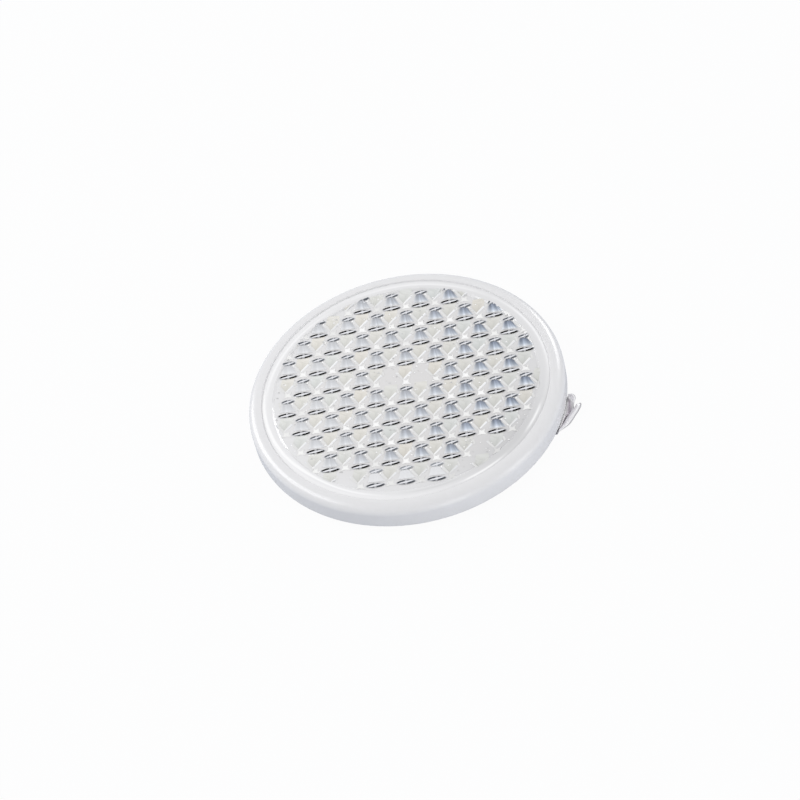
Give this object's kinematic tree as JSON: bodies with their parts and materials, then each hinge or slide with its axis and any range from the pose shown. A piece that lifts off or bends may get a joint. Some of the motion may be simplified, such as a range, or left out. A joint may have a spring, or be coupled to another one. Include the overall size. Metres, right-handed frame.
{
  "type": "adhesive reflector",
  "caption": "Round stick-on reflector: clear prism lens in a white shell with a foam adhesive pad and a peel-off liner with a pull tab.",
  "frame": {"origin": "on the disc axis, on the underside of the release liner", "axes": "+Z along the disc axis, out through the lens; the rows of prisms run along X"},
  "size_m": [0.0625, 0.0602, 0.0057],
  "materials": {
    "lens": "clear moulded plastic, glossy front, sharp prisms on the back",
    "back_shell": "white moulded plastic, satin gloss",
    "adhesive_pad": "closed-cell foam tape",
    "release_liner": "thin clear glossy film"
  },
  "bodies": {
    "root": {"lens": "lens", "back_shell": "back_shell", "adhesive_pad": "adhesive_pad", "release_liner": "release_liner"}
  },
  "joints": []
}
